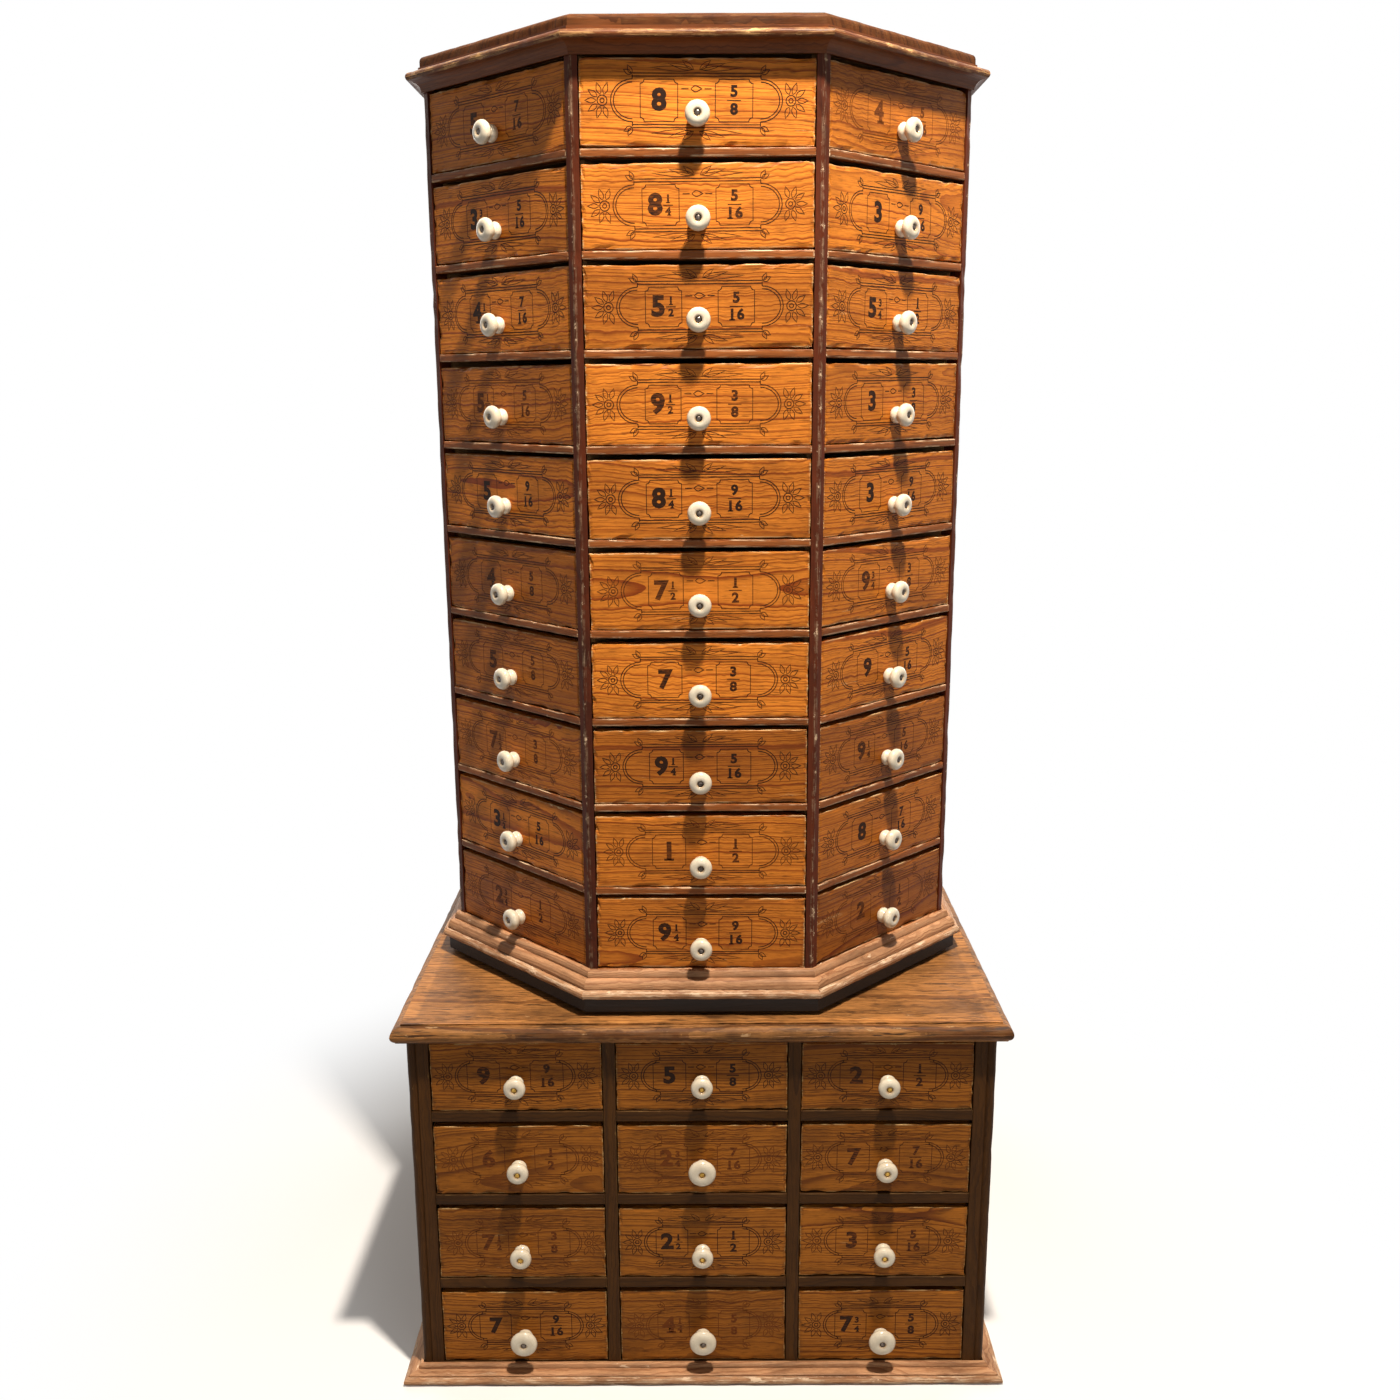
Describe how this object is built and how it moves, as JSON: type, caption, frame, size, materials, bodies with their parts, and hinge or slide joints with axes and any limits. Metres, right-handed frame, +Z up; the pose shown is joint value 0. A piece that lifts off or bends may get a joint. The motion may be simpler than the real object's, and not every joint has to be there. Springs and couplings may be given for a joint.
{
  "type": "revolving drawer cabinet",
  "caption": "Octagonal revolving carousel of small wedge-shaped drawers with porcelain knobs, turning on a square floor-standing base with its own columns of drawers.",
  "frame": {"origin": "on the floor under the turning axis, in the middle of the base's underside", "axes": "+Z up along the turning axis, -Y towards the front of the base, +X to the right"},
  "size_m": [0.593, 0.5935, 1.2614],
  "materials": {
    "drawer_wood": "shellacked pine, worn amber, dark printed ornament",
    "frame_wood": "dark red-brown varnish, chipped along the edges",
    "moulding_wood": "honey varnish worn to bare wood on the noses",
    "base_wood": "dark umber varnish, dull",
    "inner_wood": "bare planed softwood",
    "bearing_steel": "oiled steel"
  },
  "bodies": {
    "base": {"base_top": "moulding_wood", "base_frame": "base_wood", "base_case": "base_wood", "plinth_moulding": "moulding_wood", "bearing_lower_race": "bearing_steel"},
    "carousel": {"top_board": "frame_wood", "cornice_moulding": "frame_wood", "corner_posts": "frame_wood", "front_rails": "frame_wood", "shelf_boards": "inner_wood", "carousel_bottom": "base_wood", "skirt_moulding": "moulding_wood"},
    "ball_cage": {"bearing_balls": "bearing_steel"},
    "drawer_front_01": {"drawer_front_01": "drawer_wood"},
    "drawer_front_02": {"drawer_front_02": "drawer_wood"},
    "drawer_front_03": {"drawer_front_03": "drawer_wood"},
    "drawer_front_04": {"drawer_front_04": "drawer_wood"},
    "drawer_front_05": {"drawer_front_05": "drawer_wood"},
    "drawer_front_06": {"drawer_front_06": "drawer_wood"},
    "drawer_front_07": {"drawer_front_07": "drawer_wood"},
    "drawer_front_08": {"drawer_front_08": "drawer_wood"},
    "drawer_front_09": {"drawer_front_09": "drawer_wood"},
    "drawer_front_10": {"drawer_front_10": "drawer_wood"},
    "drawer_frontright_01": {"drawer_frontright_01": "drawer_wood"},
    "drawer_frontright_02": {"drawer_frontright_02": "drawer_wood"},
    "drawer_frontright_03": {"drawer_frontright_03": "drawer_wood"},
    "drawer_frontright_04": {"drawer_frontright_04": "drawer_wood"},
    "drawer_frontright_05": {"drawer_frontright_05": "drawer_wood"},
    "drawer_frontright_06": {"drawer_frontright_06": "drawer_wood"},
    "drawer_frontright_07": {"drawer_frontright_07": "drawer_wood"},
    "drawer_frontright_08": {"drawer_frontright_08": "drawer_wood"},
    "drawer_frontright_09": {"drawer_frontright_09": "drawer_wood"},
    "drawer_frontright_10": {"drawer_frontright_10": "drawer_wood"},
    "drawer_frontleft_01": {"drawer_frontleft_01": "drawer_wood"},
    "drawer_frontleft_02": {"drawer_frontleft_02": "drawer_wood"},
    "drawer_frontleft_03": {"drawer_frontleft_03": "drawer_wood"},
    "drawer_frontleft_04": {"drawer_frontleft_04": "drawer_wood"},
    "drawer_frontleft_05": {"drawer_frontleft_05": "drawer_wood"},
    "drawer_frontleft_06": {"drawer_frontleft_06": "drawer_wood"},
    "drawer_frontleft_07": {"drawer_frontleft_07": "drawer_wood"},
    "drawer_frontleft_08": {"drawer_frontleft_08": "drawer_wood"},
    "drawer_frontleft_09": {"drawer_frontleft_09": "drawer_wood"},
    "drawer_frontleft_10": {"drawer_frontleft_10": "drawer_wood"},
    "drawers_right": {"drawers_right": "drawer_wood"},
    "drawers_backright": {"drawers_backright": "drawer_wood"},
    "drawers_back": {"drawers_back": "drawer_wood"},
    "drawers_backleft": {"drawers_backleft": "drawer_wood"},
    "drawers_left": {"drawers_left": "drawer_wood"},
    "base_drawer_left_1": {"base_drawer_left_1": "drawer_wood"},
    "base_drawer_left_2": {"base_drawer_left_2": "drawer_wood"},
    "base_drawer_left_3": {"base_drawer_left_3": "drawer_wood"},
    "base_drawer_left_4": {"base_drawer_left_4": "drawer_wood"},
    "base_drawer_middle_1": {"base_drawer_middle_1": "drawer_wood"},
    "base_drawer_middle_2": {"base_drawer_middle_2": "drawer_wood"},
    "base_drawer_middle_3": {"base_drawer_middle_3": "drawer_wood"},
    "base_drawer_middle_4": {"base_drawer_middle_4": "drawer_wood"},
    "base_drawer_right_1": {"base_drawer_right_1": "drawer_wood"},
    "base_drawer_right_2": {"base_drawer_right_2": "drawer_wood"},
    "base_drawer_right_3": {"base_drawer_right_3": "drawer_wood"},
    "base_drawer_right_4": {"base_drawer_right_4": "drawer_wood"}
  },
  "joints": [
    {"name": "carousel_spin", "type": "hinge", "parent": "base", "child": "carousel", "pos_m": [0, 0, 0.39], "axis": [0, 0, 1], "continuous": true},
    {"name": "ball_cage_spin", "type": "hinge", "parent": "base", "child": "ball_cage", "pos_m": [0, 0, 0.3879], "axis": [0, 0, 1], "continuous": true},
    {"name": "drawer_front_01_slide", "type": "slide", "parent": "carousel", "child": "drawer_front_01", "axis": [0, -1, 0], "range_m": [0, 0.15]},
    {"name": "drawer_front_02_slide", "type": "slide", "parent": "carousel", "child": "drawer_front_02", "axis": [0, -1, 0], "range_m": [0, 0.15]},
    {"name": "drawer_front_03_slide", "type": "slide", "parent": "carousel", "child": "drawer_front_03", "axis": [0, -1, 0], "range_m": [0, 0.15]},
    {"name": "drawer_front_04_slide", "type": "slide", "parent": "carousel", "child": "drawer_front_04", "axis": [0, -1, 0], "range_m": [0, 0.15]},
    {"name": "drawer_front_05_slide", "type": "slide", "parent": "carousel", "child": "drawer_front_05", "axis": [0, -1, 0], "range_m": [0, 0.15]},
    {"name": "drawer_front_06_slide", "type": "slide", "parent": "carousel", "child": "drawer_front_06", "axis": [0, -1, 0], "range_m": [0, 0.15]},
    {"name": "drawer_front_07_slide", "type": "slide", "parent": "carousel", "child": "drawer_front_07", "axis": [0, -1, 0], "range_m": [0, 0.15]},
    {"name": "drawer_front_08_slide", "type": "slide", "parent": "carousel", "child": "drawer_front_08", "axis": [0, -1, 0], "range_m": [0, 0.15]},
    {"name": "drawer_front_09_slide", "type": "slide", "parent": "carousel", "child": "drawer_front_09", "axis": [0, -1, 0], "range_m": [0, 0.15]},
    {"name": "drawer_front_10_slide", "type": "slide", "parent": "carousel", "child": "drawer_front_10", "axis": [0, -1, 0], "range_m": [0, 0.15]},
    {"name": "drawer_frontright_01_slide", "type": "slide", "parent": "carousel", "child": "drawer_frontright_01", "axis": [0.7071, -0.7071, 0], "range_m": [0, 0.15]},
    {"name": "drawer_frontright_02_slide", "type": "slide", "parent": "carousel", "child": "drawer_frontright_02", "axis": [0.7071, -0.7071, 0], "range_m": [0, 0.15]},
    {"name": "drawer_frontright_03_slide", "type": "slide", "parent": "carousel", "child": "drawer_frontright_03", "axis": [0.7071, -0.7071, 0], "range_m": [0, 0.15]},
    {"name": "drawer_frontright_04_slide", "type": "slide", "parent": "carousel", "child": "drawer_frontright_04", "axis": [0.7071, -0.7071, 0], "range_m": [0, 0.15]},
    {"name": "drawer_frontright_05_slide", "type": "slide", "parent": "carousel", "child": "drawer_frontright_05", "axis": [0.7071, -0.7071, 0], "range_m": [0, 0.15]},
    {"name": "drawer_frontright_06_slide", "type": "slide", "parent": "carousel", "child": "drawer_frontright_06", "axis": [0.7071, -0.7071, 0], "range_m": [0, 0.15]},
    {"name": "drawer_frontright_07_slide", "type": "slide", "parent": "carousel", "child": "drawer_frontright_07", "axis": [0.7071, -0.7071, 0], "range_m": [0, 0.15]},
    {"name": "drawer_frontright_08_slide", "type": "slide", "parent": "carousel", "child": "drawer_frontright_08", "axis": [0.7071, -0.7071, 0], "range_m": [0, 0.15]},
    {"name": "drawer_frontright_09_slide", "type": "slide", "parent": "carousel", "child": "drawer_frontright_09", "axis": [0.7071, -0.7071, 0], "range_m": [0, 0.15]},
    {"name": "drawer_frontright_10_slide", "type": "slide", "parent": "carousel", "child": "drawer_frontright_10", "axis": [0.7071, -0.7071, 0], "range_m": [0, 0.15]},
    {"name": "drawer_frontleft_01_slide", "type": "slide", "parent": "carousel", "child": "drawer_frontleft_01", "axis": [-0.7071, -0.7071, 0], "range_m": [0, 0.15]},
    {"name": "drawer_frontleft_02_slide", "type": "slide", "parent": "carousel", "child": "drawer_frontleft_02", "axis": [-0.7071, -0.7071, 0], "range_m": [0, 0.15]},
    {"name": "drawer_frontleft_03_slide", "type": "slide", "parent": "carousel", "child": "drawer_frontleft_03", "axis": [-0.7071, -0.7071, 0], "range_m": [0, 0.15]},
    {"name": "drawer_frontleft_04_slide", "type": "slide", "parent": "carousel", "child": "drawer_frontleft_04", "axis": [-0.7071, -0.7071, 0], "range_m": [0, 0.15]},
    {"name": "drawer_frontleft_05_slide", "type": "slide", "parent": "carousel", "child": "drawer_frontleft_05", "axis": [-0.7071, -0.7071, 0], "range_m": [0, 0.15]},
    {"name": "drawer_frontleft_06_slide", "type": "slide", "parent": "carousel", "child": "drawer_frontleft_06", "axis": [-0.7071, -0.7071, 0], "range_m": [0, 0.15]},
    {"name": "drawer_frontleft_07_slide", "type": "slide", "parent": "carousel", "child": "drawer_frontleft_07", "axis": [-0.7071, -0.7071, 0], "range_m": [0, 0.15]},
    {"name": "drawer_frontleft_08_slide", "type": "slide", "parent": "carousel", "child": "drawer_frontleft_08", "axis": [-0.7071, -0.7071, 0], "range_m": [0, 0.15]},
    {"name": "drawer_frontleft_09_slide", "type": "slide", "parent": "carousel", "child": "drawer_frontleft_09", "axis": [-0.7071, -0.7071, 0], "range_m": [0, 0.15]},
    {"name": "drawer_frontleft_10_slide", "type": "slide", "parent": "carousel", "child": "drawer_frontleft_10", "axis": [-0.7071, -0.7071, 0], "range_m": [0, 0.15]},
    {"name": "drawers_right_slide", "type": "slide", "parent": "carousel", "child": "drawers_right", "axis": [1, 0, 0], "range_m": [0, 0.15]},
    {"name": "drawers_backright_slide", "type": "slide", "parent": "carousel", "child": "drawers_backright", "axis": [0.7071, 0.7071, 0], "range_m": [0, 0.15]},
    {"name": "drawers_back_slide", "type": "slide", "parent": "carousel", "child": "drawers_back", "axis": [0, 1, 0], "range_m": [0, 0.15]},
    {"name": "drawers_backleft_slide", "type": "slide", "parent": "carousel", "child": "drawers_backleft", "axis": [-0.7071, 0.7071, 0], "range_m": [0, 0.15]},
    {"name": "drawers_left_slide", "type": "slide", "parent": "carousel", "child": "drawers_left", "axis": [-1, 0, 0], "range_m": [0, 0.15]},
    {"name": "base_drawer_left_1_slide", "type": "slide", "parent": "base", "child": "base_drawer_left_1", "axis": [0, -1, 0], "range_m": [0, 0.36]},
    {"name": "base_drawer_left_2_slide", "type": "slide", "parent": "base", "child": "base_drawer_left_2", "axis": [0, -1, 0], "range_m": [0, 0.36]},
    {"name": "base_drawer_left_3_slide", "type": "slide", "parent": "base", "child": "base_drawer_left_3", "axis": [0, -1, 0], "range_m": [0, 0.36]},
    {"name": "base_drawer_left_4_slide", "type": "slide", "parent": "base", "child": "base_drawer_left_4", "axis": [0, -1, 0], "range_m": [0, 0.36]},
    {"name": "base_drawer_middle_1_slide", "type": "slide", "parent": "base", "child": "base_drawer_middle_1", "axis": [0, -1, 0], "range_m": [0, 0.36]},
    {"name": "base_drawer_middle_2_slide", "type": "slide", "parent": "base", "child": "base_drawer_middle_2", "axis": [0, -1, 0], "range_m": [0, 0.36]},
    {"name": "base_drawer_middle_3_slide", "type": "slide", "parent": "base", "child": "base_drawer_middle_3", "axis": [0, -1, 0], "range_m": [0, 0.36]},
    {"name": "base_drawer_middle_4_slide", "type": "slide", "parent": "base", "child": "base_drawer_middle_4", "axis": [0, -1, 0], "range_m": [0, 0.36]},
    {"name": "base_drawer_right_1_slide", "type": "slide", "parent": "base", "child": "base_drawer_right_1", "axis": [0, -1, 0], "range_m": [0, 0.36]},
    {"name": "base_drawer_right_2_slide", "type": "slide", "parent": "base", "child": "base_drawer_right_2", "axis": [0, -1, 0], "range_m": [0, 0.36]},
    {"name": "base_drawer_right_3_slide", "type": "slide", "parent": "base", "child": "base_drawer_right_3", "axis": [0, -1, 0], "range_m": [0, 0.36]},
    {"name": "base_drawer_right_4_slide", "type": "slide", "parent": "base", "child": "base_drawer_right_4", "axis": [0, -1, 0], "range_m": [0, 0.36]}
  ],
  "couplings": [
    {"joint": "ball_cage_spin", "follows": "carousel_spin", "ratio": 0.5}
  ]
}
